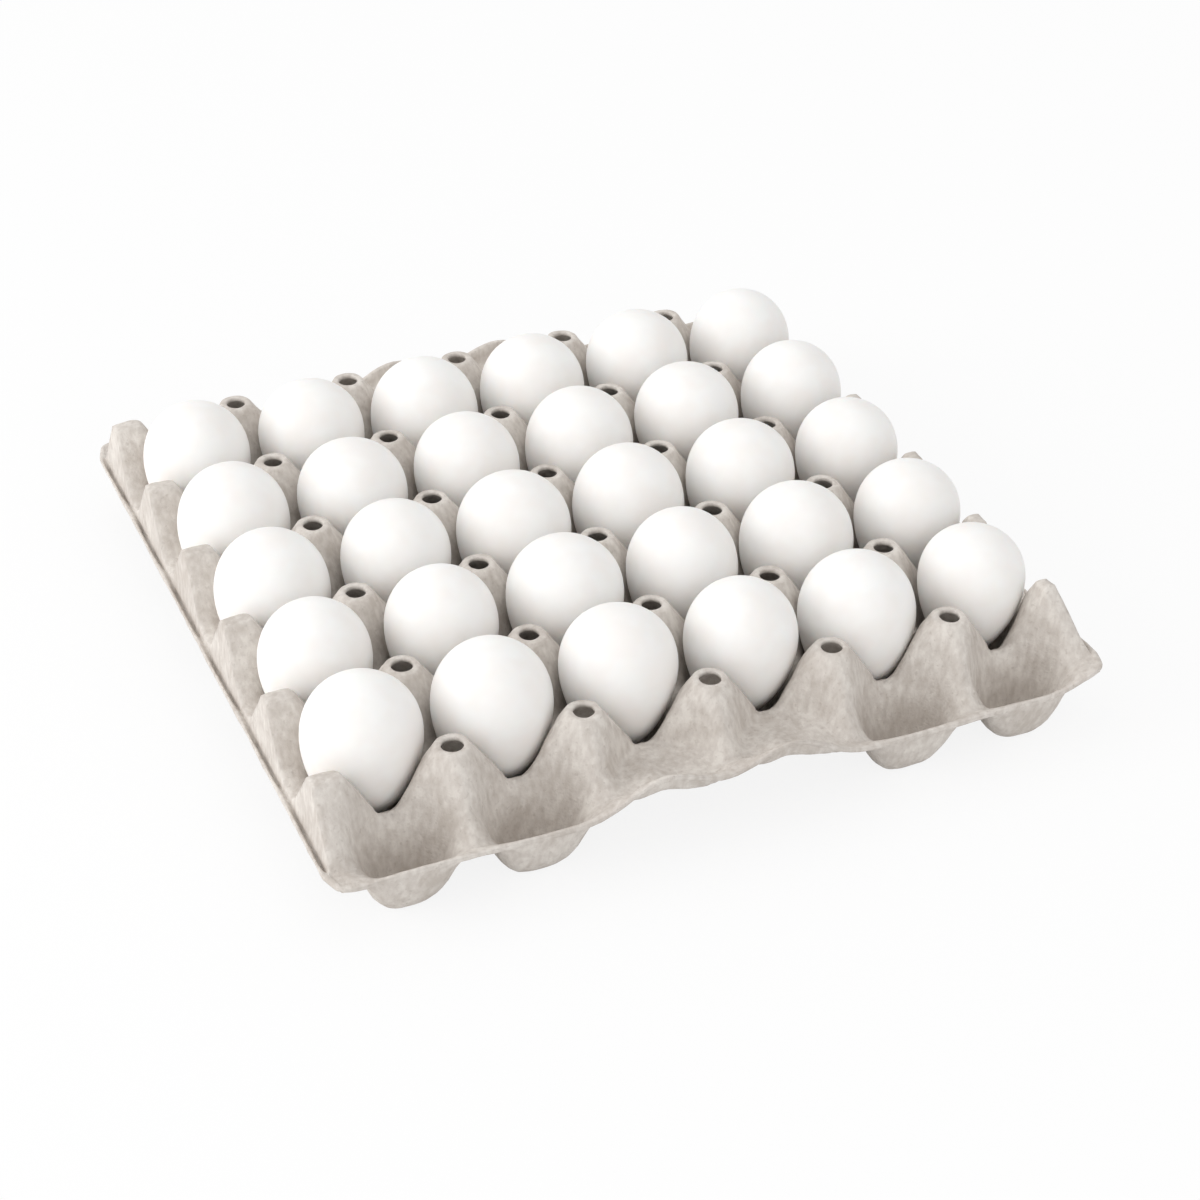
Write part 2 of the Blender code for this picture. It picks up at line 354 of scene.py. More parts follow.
def shelf_height(x, y):
    """Height of the sheet under an arch: it climbs to the lip, later where the lip slopes."""
    sy = math.copysign(1.0, y)
    along = min(max((abs(y) - SHELF_START) / (SHELF_END - SHELF_START), 0.0), 1.0)
    slope = math.sin(2.0 * math.pi * from_arch_middle(x, sy) / PITCH) ** 2
    climb = (1.0 - slope) * along ** SHELF_POWER + slope * along ** TROUGH_POWER
    return SADDLE - SHELF_FALL * along + (lip_height(x, sy) - LIP_STAND - SADDLE) * climb


print("lip", RIM, "arch", [round(lip_height(step * PITCH / 4, -1.0), 4) for step in range(-5, 6)])

# %% [markdown]
# ## Half a pocket
# A pocket is laid as rings too. Its back half hangs from the post, and its front half hangs from the foot
# of the post's ridge and the lip. An arch uses the same rings in plan, but every point is lifted to the
# height of the shelf, so that both kinds of cell join on the ridge between them. The two could be cells
# of their own, but then the ridge between them would need a seam.

# %% A half of an edge cell
BACK_ANGLES = [math.radians(a) for a in (-90, -67.5, -45, -22.5, 0)]
FRONT_ANGLES = [math.radians(a) for a in (0, 15, 30, 45, 60, 75, 90)]


def ring_point(cx, sx, sy, ring, angle):
    """A point of a pocket's ring. The angle is -90 degrees at the back and 90 at the front."""
    half, back, front, height, bend = ring
    reach_y = (front * PITCH if angle > 0.0 else back * PITCH) - POCKET_CENTRE
    if angle > 0.0:
        bend = POCKET_FRONT_BEND
    across = max(math.cos(angle), 0.0) ** bend
    along = abs(math.sin(angle)) ** bend
    return Vector((cx - sx * half * PITCH * across, sy * (POCKET_CENTRE + reach_y * along), height))


def ridge_foot(px, sy, holed):
    """Distance from the middle at which a post's front ridge comes down to the lip."""
    if not holed:
        return CORNER_FOOT * PITCH
    return RIDGE_FOOT * PITCH - (lip_height(px, sy) - RIM) * RIDGE_SLOPE


def lay_edge_half(sheet, post, cx, arched, holed):
    """Half of a pocket or an arch beside one edge post, with its part of the lip."""
    px, py = post
    sx, sy = math.copysign(1.0, cx - px), math.copysign(1.0, py)
    squeeze = abs(cx - px) / HALF_CELL
    rows = [lay_post_top(sheet, post, sx, sy, squeeze, holed)]
    saddle_x = abs(cx - px) - POCKET_SADDLE[0] * PITCH * squeeze
    saddle_y = POCKET_SADDLE[1] * PITCH - abs(py)
    saddle_reach = math.hypot(saddle_x, saddle_y)
    first_deep, (last_deep, last_height) = BROW[1][0], FACE_PROFILE[-1]
    front_profile = FRONT_RIDGE if holed else CORNER_RIDGE
    profiles = zip(RIDGE_PROFILE, front_profile, FACE_PROFILE, RIDGE_SHARPNESS)
    for (along, height), (out, front_height), (deep, face_height), sharpness in profiles:
        reach = first_deep + (saddle_reach - first_deep) * (deep - first_deep) / (last_deep - first_deep)
        drop = (POST_HEIGHT - face_height) / (POST_HEIGHT - last_height)
        rows.append(quarter_row(
            post, sx, sy,
            (along * squeeze, 0.0, height),
            (reach * saddle_x / saddle_reach, reach * saddle_y / saddle_reach,
             POST_HEIGHT - drop * (POST_HEIGHT - POCKET_SADDLE[2])),
            (0.0, out, front_height),
            sharpness,
        ))
    back_rings, front_rings = [], []
    for ring in POCKET_RINGS:
        scaled = (ring[0] * squeeze, *ring[1:])
        back_rings.append([ring_point(cx, sx, sy, scaled, angle) for angle in BACK_ANGLES])
        front_rings.append([ring_point(cx, sx, sy, scaled, angle) for angle in FRONT_ANGLES])
    centre = Vector((cx, sy * POCKET_CENTRE, CUP_FLOOR))
    lip_rows = lip_rows_beside(px, cx, sy)
    ridge_top = rows[-1][-1]
    lip_rows[0][0] = Vector((px, sy * ridge_foot(px, sy, holed), lip_height(px, sy) - LIP_ROUND))
    gutter = lip_rows[0][0] - Vector((0.0, sy * GUTTER, LIP_STAND if holed else 0.0))
    edge_row = [ridge_top, gutter] + lip_rows[0]
    if arched:
        for ring in back_rings + front_rings:
            for point in ring:
                point.z = shelf_height(point.x, point.y)
        centre.z = shelf_height(centre.x, centre.y)
    lay(sheet, *rows, *back_rings)
    lay_middle(sheet, back_rings[-1], centre)
    lay(sheet, edge_row, *front_rings)
    lay_middle(sheet, front_rings[-1], centre)
    lay(sheet, *lip_rows)


def lip_rows_beside(px, cx, sy):
    """Rows of the lip over half a cell: its inner edge, its middle and the rim."""
    xs = [px + (cx - px) * k / 4 for k in range(5)]
    inner = [Vector((x, sy * y * PITCH, lip_height(x, sy) - LIP_ROUND)) for x, y in zip(xs, LIP_INNER)]
    middle = [Vector((x, sy * LIP_MIDDLE, lip_height(x, sy) + LIP_ROUND)) for x in xs]
    rim = [Vector((x, sy * HALF_WIDTH, lip_height(x, sy))) for x in xs]
    return [inner, middle, rim]


print("pocket rings at heights", [ring[3] for ring in POCKET_RINGS])

# %% [markdown]
# ## The left and right edges
# A side post has no hole. Its outer face drops steeply into a groove behind the rim, and its top is drawn
# out into a short level ledge. The edge could be cut post by post, but long strips are simpler: every
# strip is the same run of stations at another distance out. The stations are those of the posts' ridges,
# so the strips and the cells merge.

# %% Side edges
LEDGE = (0.0030, 0.0058)
LEDGE_FALL = 0.0004
FACE_LEAN = 0.0001
FACE_STEPS = (0.62, 0.24)
GROOVE_X = 3.074 * PITCH
GROOVE = 0.0195
GROOVE_RATE = 5.0
SIDE_LIP_X = 3.095 * PITCH
SIDE_LIP_ROUND = 0.0002
CORNER_START = 2.95 * PITCH
SAME_PLACE = 0.001


def side_stations():
    """Distances along a side edge, each with the height of the posts' ridge there."""
    stations = {}
    corner = 0.5 * ROWS * PITCH
    for row in range(ROWS + 1):
        y = (row - 0.5 * ROWS) * PITCH
        stations[round(y, 6)] = POST_HEIGHT
        for way in (-1.0, 1.0):
            profile = CORNER_RIDGE if way * y > corner - SAME_PLACE else SIDE_RIDGE
            stations[round(y + way * POST_RINGS[1][0] * SIDE_TOP_NARROWING, 6)] = POST_RINGS[1][1]
            stations[round(y + way * BROW[0][0] * SIDE_TOP_NARROWING, 6)] = BROW[0][1]
            for along, height in profile:
                stations[round(y + way * along, 6)] = height
    foot, foot_height = CORNER_FOOT * PITCH, RIM - LIP_ROUND
    for way in (-1.0, 1.0):
        stations[round(way * (foot - GUTTER), 6)] = foot_height
        stations[round(way * foot, 6)] = foot_height
        stations[round(way * LIP_MIDDLE, 6)] = RIM + LIP_ROUND
        stations[round(way * HALF_WIDTH, 6)] = RIM
    return sorted(stations.items())


def lay_side_edge(sheet, side):
    """The outer faces of the posts along a side edge, the groove below them and the rim."""
    stations = []
    for y, height in side_stations():
        above = max(height - RIM, 0.0) / (POST_HEIGHT - RIM)
        depth_share = min(above * GROOVE_RATE, 1.0)
        groove = RIM - (RIM - GROOVE) * depth_share
        if abs(y) > CORNER_START:
            groove = height
        edge_x = SIDE_POST_X + LEDGE[1] + LEDGE_FALL * (1.0 - above)
        places = (
            (SIDE_POST_X, height),
            (SIDE_POST_X + LEDGE[0], height),
            (edge_x, height - LEDGE_FALL * depth_share),
            (edge_x + FACE_LEAN, groove + (height - groove) * FACE_STEPS[0]),
            (edge_x + 2.0 * FACE_LEAN, groove + (height - groove) * FACE_STEPS[1]),
            (GROOVE_X, groove),
            (SIDE_LIP_X, RIM + SIDE_LIP_ROUND),
            (HALF_WIDTH, RIM - SIDE_LIP_ROUND),
        )
        stations.append([Vector((side * x, y, z)) for x, z in places])
    lay(sheet, *zip(*stations))


print("stations along a side edge:", len(side_stations()))

# %% [markdown]
# ## Bends of dried pulp
# No tray dries perfectly flat. Its corners are round, its rim waves a little, and here the right edge has
# curled up by a few millimetres, with its posts leaning in over the eggs. A Lattice modifier could bend
# one edge too, but its control points are hard to set from numbers. Here each bend is a small function
# that moves one point, which is easy to read and to switch off.

# %% Rounded corners, waves and a curled edge
CORNER_RADIUS = 0.0095
RIM_WAVE = 0.0004
RIM_BAND = 0.06
CROSSED_WAVES = (52.0, 47.0)
WAVE_SHIFTS = (0.7, 1.9)
SLANTED_WAVES = 90.0
SLANTED_SHARE = 0.6
CURL_START = 2.55 * PITCH
CURL_LENGTH = 0.5 * PITCH
CURL_FOOT = (0.004, 0.016)
CURL_HEIGHT = 0.0032
CORNER_CURL = 0.0026
CORNER_CURL_START = 2.2 * PITCH
CORNER_CURL_LENGTH = 0.7 * PITCH
LEAN = 0.17 * PITCH
LEAN_START = 2.72 * PITCH
LEAN_LENGTH = 0.3 * PITCH
LEAN_POWER = 0.8


def round_corner(place):
    """Bend the square outer corners of the sheet into arcs."""
    start = HALF_WIDTH - CORNER_RADIUS
    u, v = (abs(place.x) - start) / CORNER_RADIUS, (abs(place.y) - start) / CORNER_RADIUS
    if u > 0.0 and v > 0.0:
        place.x = math.copysign(start + CORNER_RADIUS * u * math.sqrt(1.0 - 0.5 * v * v), place.x)
        place.y = math.copysign(start + CORNER_RADIUS * v * math.sqrt(1.0 - 0.5 * u * u), place.y)


def wave_rim(place):
    """Lift and lower the outer rim a little, as pulp dries."""
    outward = max(abs(place.x), abs(place.y)) / HALF_WIDTH
    share = min(max((outward - 1.0 + RIM_BAND) / RIM_BAND, 0.0), 1.0)
    crossed_x = math.sin(place.x * CROSSED_WAVES[0] + WAVE_SHIFTS[0])
    crossed_y = math.sin(place.y * CROSSED_WAVES[1] + WAVE_SHIFTS[1])
    slanted = SLANTED_SHARE * math.sin((place.x + place.y) * SLANTED_WAVES)
    place.z += RIM_WAVE * share * (crossed_x * crossed_y + slanted)


def ease(value, start, length):
    """0 before the start, 1 past the length, and smooth between."""
    share = min(max((value - start) / length, 0.0), 1.0)
    return share * share * (3.0 - 2.0 * share)


def curl_right_edge(place):
    """Lift the right edge as it dried, most at its front corner, and lean its posts inward."""
    lift = CURL_HEIGHT + CORNER_CURL * ease(-place.y, CORNER_CURL_START, CORNER_CURL_LENGTH)
    height_share = min(max((place.z - RIM) / (POST_HEIGHT - RIM), 0.0), 1.0)
    lean = LEAN * height_share ** LEAN_POWER * ease(place.x, LEAN_START, LEAN_LENGTH)
    place.z += lift * ease(place.x, CURL_START, CURL_LENGTH) * ease(place.z, *CURL_FOOT)
    place.x -= lean


print("right edge curled up by", CURL_HEIGHT, "to", round(CURL_HEIGHT + CORNER_CURL, 4), "m")

# %% [markdown]
# ## Edges that stay crisp
# A subdivision surface rounds every edge alike, but on real pulp the rim, the tops of the posts and the
# ridges between them are crisper than the hollows. A crease value on an edge, from 0 for round to 1 for
# sharp, says how much of its crispness it keeps. Extra loops beside each edge would do it too, with many
# more quads. Short rules say which points lie on such an edge.

# %% Creases
RIM_SHARPNESS = 0.75
SIDE_SHARPNESS = 0.85
BROW_SHARPNESS = 0.55
RIDGE_CREASE = 0.35
LIP_SHARPNESS = 1.0
SIDE_CREASE_BAND = (-0.0003, 0.00045)
SIDE_CREASE_FOOT = 0.0015
SIDE_CREASE_END = 2.9 * PITCH
BROW_MARGIN = 0.00005
RIDGE_MARGIN = 0.0004
POST_LINE_MARGIN = 0.001
LIP_EDGE_MARGIN = 0.005


def on_side_crease(place):
    """Whether a point is on the outer edge of a side post, above the rim."""
    reach = abs(place.x) - SIDE_POST_X - LEDGE[1]
    if not SIDE_CREASE_BAND[0] < reach < SIDE_CREASE_BAND[1]:
        return False
    return place.z > RIM + SIDE_CREASE_FOOT and abs(place.y) < SIDE_CREASE_END


def on_brow(place):
    """Whether a point is on the edge between a post's top and its faces."""
    return BROW[1][1] - BROW_MARGIN < place.z < BROW[0][1] + BROW_MARGIN


def on_post_line(value):
    """Whether a coordinate is on a line of posts, or on the lines of the side posts."""
    steps = abs(value) / PITCH
    return min(abs(steps - round(steps)), abs(abs(value) - SIDE_POST_X) / PITCH) < POST_LINE_MARGIN


def on_ridge(place):
    """Whether a point is on the ridge between two posts, or on the ridge that falls to the lip."""
    if not SADDLE + RIDGE_MARGIN < place.z < BROW[1][1]:
        return False
    return on_post_line(place.x) or on_post_line(place.y + 0.5 * PITCH)


def on_lip_edge(place):
    """Whether a point is on the inner edge of the front or back lip."""
    return RIDGE_FOOT - LIP_EDGE_MARGIN < abs(place.y) / PITCH < LIP_INNER[-1] + LIP_EDGE_MARGIN


def crease_sheet(sheet):
    """Mark the edges that dried pulp keeps crisper than the rest."""
    sharpness = sheet.edges.layers.float.new("crease_edge")
    rules = (
        (on_ridge, RIDGE_CREASE), (on_brow, BROW_SHARPNESS),
        (on_lip_edge, LIP_SHARPNESS), (on_side_crease, SIDE_SHARPNESS),
    )
    for edge in sheet.edges:
        for rule, amount in rules:
            if all(rule(vert.co) for vert in edge.verts):
                edge[sharpness] = amount
        if edge.is_boundary:
            edge[sharpness] = RIM_SHARPNESS


print("creases: rim", RIM_SHARPNESS, "side posts", SIDE_SHARPNESS, "brows", BROW_SHARPNESS)

# %% [markdown]
# ## One sheet with a wall
# The laid patches are merged, faced upwards and copied down by the wall's thickness. The copy goes straight
# down at the rim and stops on the ground under the floors, and two strips close the rim and the holes.
# A Solidify modifier could do this, but it would thicken the floors past the ground.

# %% The cage of the tray
WALL = 0.0020
MOST_THICKENING = 1.4
UNDER_LIP = 0.0007
MERGE_DISTANCE = 0.00002
FLOOR_MARGIN = 0.0002


def face_up(sheet):
    """Merge the patches, turn their faces up, mark the crisp edges and bend the sheet a little."""
    bmesh.ops.remove_doubles(sheet, verts=sheet.verts[:], dist=MERGE_DISTANCE)
    crease_sheet(sheet)
    sheet.normal_update()
    for face in sheet.faces:
        if face.normal.z < 0.0:
            face.normal_flip()
    for vert in sheet.verts:
        round_corner(vert.co)
        wave_rim(vert.co)
        curl_right_edge(vert.co)
    sheet.normal_update()


def add_underside(sheet):
    """Copy the sheet down by the wall's thickness and close it along its open edges."""
    upper_faces = sheet.faces[:]
    open_edges = [edge for edge in sheet.edges if edge.is_boundary]
    below = {}
    for vert in sheet.verts[:]:
        lowered = vert.co - vert.normal * WALL * min(vert.calc_shell_factor(), MOST_THICKENING)
        lowered.x = math.copysign(min(abs(lowered.x), HALF_WIDTH - UNDER_LIP), lowered.x)
        lowered.y = math.copysign(min(abs(lowered.y), HALF_WIDTH - UNDER_LIP), lowered.y)
        if vert.is_boundary:
            lowered = vert.co - Vector((0.0, 0.0, WALL))
        if vert.co.z < CUP_FLOOR + FLOOR_MARGIN:
            lowered.z = 0.0
        below[vert] = lowered
    below = {vert: sheet.verts.new(place) for vert, place in below.items()}
    for face in upper_faces:
        sheet.faces.new([below[vert] for vert in reversed(face.verts)])
    for edge in open_edges:
        face = edge.link_faces[0]
        loop = next(loop for loop in face.loops if loop.edge == edge)
        start, end = loop.vert, loop.link_loop_next.vert
        sheet.faces.new((end, start, below[start], below[end]))


def lay_tray():
    """The whole tray as one closed cage of quads."""
    sheet = bmesh.new()
    post_x = [(i - 0.5 * COLUMNS) * PITCH for i in range(COLUMNS + 1)]
    post_x[0], post_x[-1] = -SIDE_POST_X, SIDE_POST_X
    post_y = [(j - 0.5 * ROWS) * PITCH for j in range(ROWS + 1)]
    for i in range(COLUMNS):
        cx = (i + 0.5 - 0.5 * COLUMNS) * PITCH
        for k in (i, i + 1):
            holed = 0 < k < COLUMNS
            for j in range(ROWS):
                cy = (j + 0.5 - 0.5 * ROWS) * PITCH
                lay_egg_quarter(sheet, (post_x[k], post_y[j]), (cx, cy), holed)
                lay_egg_quarter(sheet, (post_x[k], post_y[j + 1]), (cx, cy), holed)
            for y in (post_y[0], post_y[-1]):
                lay_edge_half(sheet, (post_x[k], y), cx, i in ARCH_CELLS, holed)
    lay_side_edge(sheet, -1.0)
    lay_side_edge(sheet, 1.0)
    face_up(sheet)
    add_underside(sheet)
    mesh = bpy.data.meshes.new("tray_sheet")
    sheet.to_mesh(mesh)
    sheet.free()
    return mesh


cage = lay_tray()
print("cage of", len(cage.polygons), "quads")

# %% [markdown]
# ## Rounding and the pulp's relief
# One level of Subdivision Surface rounds the cage as wet pulp rounds over its mould. The relief of dried
# pulp has a rule, slow swells and small fibrous lumps, so a Geometry Nodes tree adds it: two noises push
# every point along its normal. Sculpting the lumps by hand would look as good, but it couldn't be redone
# when the cage changes. The feet are left flat, because the tray dried standing on them.

# %% Helpers for node trees
def add_node(tree, kind, **settings):
    node = tree.nodes.new(kind)
    for name, value in settings.items():
        setattr(node, name, value)
    return node


def join(tree, pairs):
    for output, socket in pairs:
        tree.links.new(output, socket)


def new_geometry_tree(name, inputs):
    """A Geometry Nodes tree with a geometry output and the named inputs."""
    tree = bpy.data.node_groups.new(name, "GeometryNodeTree")
    tree.interface.new_socket("Geometry", in_out="OUTPUT", socket_type="NodeSocketGeometry")
    for label, kind, value in inputs:
        socket = tree.interface.new_socket(label, in_out="INPUT", socket_type=kind)
        if value is not None:
            socket.default_value = value
    return tree, add_node(tree, "NodeGroupInput"), add_node(tree, "NodeGroupOutput")


def tree_inputs(tree):
    """The named inputs of a Geometry Nodes tree."""
    return [item for item in tree.interface.items_tree if item.in_out == "INPUT"]


def math_node(tree, operation, first, second=None):
    """A Math node whose inputs are sockets or numbers. Returns its output."""
    node = add_node(tree, "ShaderNodeMath", operation=operation)
    for socket, value in zip(node.inputs, (first, second)):
        if value is None:
            continue
        if isinstance(value, (int, float)):
            socket.default_value = value
        else:
            tree.links.new(value, socket)
    return node.outputs[0]


def set_inputs(modifier, values):
    """Set a Geometry Nodes modifier's inputs. They are kept by identifier, so the label is looked up."""
    sockets = {item.name: item.identifier for item in tree_inputs(modifier.node_group)}
    for label, value in values.items():
        modifier[sockets[label]] = value


def finish_piece(thing, name, nodes):
    """Bake an object's modifiers into a plain mesh piece that stands for model nodes."""
    depsgraph = bpy.context.evaluated_depsgraph_get()
    mesh = bpy.data.meshes.new_from_object(thing.evaluated_get(depsgraph))
    mesh.name = name
    piece = bpy.data.objects.new(name, mesh)
    bpy.context.scene.collection.objects.link(piece)
    bpy.data.objects.remove(thing, do_unlink=True)
    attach(piece, "root")
    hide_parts(*nodes)
    return piece


print("node helpers ready in Blender", bpy.app.version_string)

# %% Pulp relief
RELIEF_DETAIL = 2.0


def pulp_relief_tree():
    tree, given, result = new_geometry_tree("pulp relief", (
        ("Geometry", "NodeSocketGeometry", None),
        ("Swell height", "NodeSocketFloat", 0.0004),
        ("Swell size", "NodeSocketFloat", 0.022),
        ("Lump height", "NodeSocketFloat", 0.0002),
        ("Lump size", "NodeSocketFloat", 0.0055),
        ("Foot height", "NodeSocketFloat", 0.003),
        ("Pulp", "NodeSocketMaterial", None),
    ))
    position = add_node(tree, "GeometryNodeInputPosition")
    normal = add_node(tree, "GeometryNodeInputNormal")
    pushes = []
    for size, height in (("Swell size", "Swell height"), ("Lump size", "Lump height")):
        noise = add_node(tree, "ShaderNodeTexNoise")
        noise.inputs["Detail"].default_value = RELIEF_DETAIL
        frequency = math_node(tree, "DIVIDE", 1.0, given.outputs[size])
        join(tree, ((position.outputs[0], noise.inputs["Vector"]), (frequency, noise.inputs["Scale"])))
        centred = math_node(tree, "MULTIPLY_ADD", noise.outputs[0], 2.0)
        centred.node.inputs[2].default_value = -1.0
        pushes.append(math_node(tree, "MULTIPLY", centred, given.outputs[height]))
    height_above = add_node(tree, "ShaderNodeSeparateXYZ")
    share = math_node(tree, "DIVIDE", height_above.outputs["Z"], given.outputs["Foot height"])
    share.node.use_clamp = True
    push = math_node(tree, "MULTIPLY", math_node(tree, "ADD", *pushes), share)
    offset = add_node(tree, "ShaderNodeVectorMath", operation="SCALE")
    move = add_node(tree, "GeometryNodeSetPosition")
    smooth = add_node(tree, "GeometryNodeSetShadeSmooth")
    realize = add_node(tree, "GeometryNodeRealizeInstances")
    paint = add_node(tree, "GeometryNodeSetMaterial")
    join(tree, (
        (position.outputs[0], height_above.inputs[0]),
        (normal.outputs[0], offset.inputs[0]),
        (push, offset.inputs["Scale"]),
        (given.outputs["Geometry"], move.inputs["Geometry"]),
        (offset.outputs[0], move.inputs["Offset"]),
        (move.outputs[0], smooth.inputs[0]),
        (smooth.outputs[0], realize.inputs[0]),
        (realize.outputs[0], paint.inputs["Geometry"]),
        (given.outputs["Pulp"], paint.inputs["Material"]),
        (paint.outputs[0], result.inputs[0]),
    ))
    return tree


relief_rule = pulp_relief_tree()
print("relief inputs", [item.name for item in tree_inputs(relief_rule)])

# %% [markdown]
# ## The pulp's finish
# Egg tray pulp is old newsprint: a warm grey with paler and darker specks, dead matt, and rough to the
# touch. The colour is a slow cloud with fine streaks and a few dark flecks over it, and two bumps raise
# its lumps and fibres. An image texture would need unwrapping and would show its repeats. Noises on object
# coordinates need neither, and they give the same grain inside a cup as on the rim.

# %% Helpers for materials
def srgb(red, green, blue):
    """A colour written as display values from 0 to 255, as linear values with alpha."""
    def linear(value):
        value /= 255.0
        return value / 12.92 if value <= 0.04045 else ((value + 0.055) / 1.055) ** 2.4
    return (linear(red), linear(green), linear(blue), 1.0)


def new_material(name, roughness):
    material = bpy.data.materials.new(name)
    material.use_nodes = True
    shader = material.node_tree.nodes["Principled BSDF"]
    shader.inputs["Roughness"].default_value = roughness
    place = add_node(material.node_tree, "ShaderNodeTexCoord")
    return material, material.node_tree, shader, place.outputs["Object"]


def noise_at(tree, place, size, detail=3.0, stretch=None):
    """A noise whose lumps are about the given size in metres. Stretch lengthens them along an axis."""
    if stretch:
        mapping = add_node(tree, "ShaderNodeMapping")
        mapping.inputs["Scale"].default_value = stretch
        tree.links.new(place, mapping.inputs["Vector"])
        place = mapping.outputs[0]
    noise = add_node(tree, "ShaderNodeTexNoise")
    noise.inputs["Scale"].default_value = 1.0 / size
    noise.inputs["Detail"].default_value = detail
    tree.links.new(place, noise.inputs["Vector"])
    return noise.outputs[0]


def ramp(tree, value, stops):
    """A colour ramp over (position, colour) stops."""
    node = add_node(tree, "ShaderNodeValToRGB")
    elements = node.color_ramp.elements
    elements[0].position, elements[0].color = stops[0]
    elements[1].position, elements[1].color = stops[-1]
    for position, colour in stops[1:-1]:
        elements.new(position).color = colour
    tree.links.new(value, node.inputs[0])
    return node.outputs[0]


def bump(tree, height, strength, distance, under=None):
    node = add_node(tree, "ShaderNodeBump")
    node.inputs["Strength"].default_value = strength
    node.inputs["Distance"].default_value = distance
    tree.links.new(height, node.inputs["Height"])
    if under:
        tree.links.new(under, node.inputs["Normal"])
    return node.outputs[0]


print("mid grey is", [round(value, 3) for value in srgb(128, 128, 128)])

# %% Pulp material
PULP_DARK = srgb(196, 188, 180)
PULP_MIDDLE = srgb(208, 201, 194)
PULP_PALE = srgb(221, 215, 208)
PULP_FLECK = srgb(168, 158, 149)
CLOUD_SIZE, CLOUD_SHARE = 0.014, 0.45
STREAK_SIZE, STREAK_SHARE = 0.0022, 0.55
STREAK_STRETCH = (1.0, 1.0, 0.35)
FLECK_SIZE, FLECK_STRENGTH = 0.0016, 0.35
LUMP_SIZE, FIBRE_SIZE = 0.0042, 0.0011
BLACK, WHITE = (0.0, 0.0, 0.0, 1.0), (1.0, 1.0, 1.0, 1.0)


def pulp_material():
    material, tree, shader, place = new_material("moulded_pulp", 0.95)
    shader.inputs["Specular IOR Level"].default_value = 0.2
    clouds = math_node(tree, "MULTIPLY", noise_at(tree, place, CLOUD_SIZE), CLOUD_SHARE)
    streaks = noise_at(tree, place, STREAK_SIZE, detail=5.0, stretch=STREAK_STRETCH)
    shade = math_node(tree, "ADD", clouds, math_node(tree, "MULTIPLY", streaks, STREAK_SHARE))
    mottling = ramp(tree, shade, ((0.38, PULP_DARK), (0.5, PULP_MIDDLE), (0.62, PULP_PALE)))
    flecks = noise_at(tree, place, FLECK_SIZE, detail=4.0)
    fleck_share = ramp(tree, flecks, ((0.60, BLACK), (0.72, WHITE)))
    mix = add_node(tree, "ShaderNodeMix", data_type="RGBA")
    strength = math_node(tree, "MULTIPLY", fleck_share, FLECK_STRENGTH)
    mix.inputs["B"].default_value = PULP_FLECK
    fibres = noise_at(tree, place, FIBRE_SIZE, detail=5.0)
    lumps = noise_at(tree, place, LUMP_SIZE, detail=3.0)
    coarse = bump(tree, lumps, strength=0.6, distance=0.0008)
    fine = bump(tree, fibres, strength=0.65, distance=0.0004, under=coarse)
    join(tree, (
        (mottling, mix.inputs["A"]),
        (strength, mix.inputs["Factor"]),
        (mix.outputs["Result"], shader.inputs["Base Color"]),
        (fine, shader.inputs["Normal"]),
    ))
    return material


pulp = pulp_material()
print("pulp material", pulp.name)

# %% [markdown]
# ## The tray
# The cage, the rounding and the relief come together here. The modifiers are worked out once and the
# result is kept as a plain mesh, because a live modifier would be worked out again for every view.

# %% The finished tray
SWELL_HEIGHT = 0.0004
LUMP_HEIGHT = 0.00026


def make_tray(cage):
    cage.materials.append(pulp)
    thing = bpy.data.objects.new("tray_cage", cage)
    bpy.context.scene.collection.objects.link(thing)
    rounding = thing.modifiers.new("rounding", "SUBSURF")
    rounding.levels = rounding.render_levels = 1
    relief = thing.modifiers.new("relief", "NODES")
    relief.node_group = relief_rule
    set_inputs(relief, {"Swell height": SWELL_HEIGHT, "Lump height": LUMP_HEIGHT, "Pulp": pulp})
    return finish_piece(thing, "pulp_tray", ["tray"])


tray = make_tray(cage)
print("tray", len(tray.data.polygons), "faces", [round(v, 4) for v in tray.dimensions])

# %% [markdown]
# ## The eggs
# An egg is a ball stretched along its length and narrowed towards one end, so one small tree makes them
# all: it scales a unit ball, widens the half that points up, and leans and places the result. One egg
# could be modelled and copied, but then all thirty would be twins. A modifier with its own numbers for
# each egg gives eggs as uneven as hens lay them.

# %% Egg tree
BALL_SEGMENTS, BALL_RINGS = 64, 40
SHELL_SWELLS = 1.3
SEED_RATE = 9000.0


